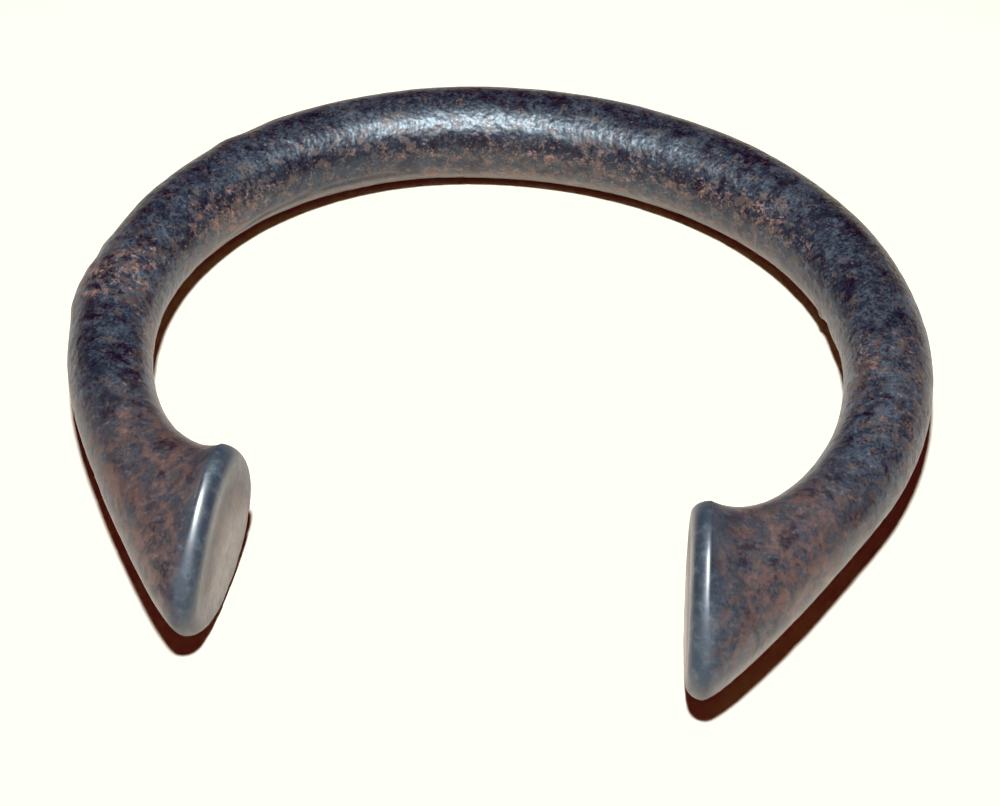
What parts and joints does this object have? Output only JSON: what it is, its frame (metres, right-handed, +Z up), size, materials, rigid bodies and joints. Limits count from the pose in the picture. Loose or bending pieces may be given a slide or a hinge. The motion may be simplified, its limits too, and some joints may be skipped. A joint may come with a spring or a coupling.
{
  "type": "manilla",
  "caption": "Horseshoe ring of cast copper alloy, a round rod that thins towards two flared, hoof-like ends with egg-shaped end faces.",
  "frame": {"origin": "under the middle of the whole ring, on the surface that it lies on", "axes": "+Z up as it lies, +Y from the mouth to the back of the ring, +X to the right"},
  "size_m": [0.0672, 0.0614, 0.0116],
  "materials": {
    "copper_alloy": "dark patina, blue-black mottled with red-brown and olive, dull sheen"
  },
  "bodies": {
    "root": {"manilla": "copper_alloy"}
  },
  "joints": []
}
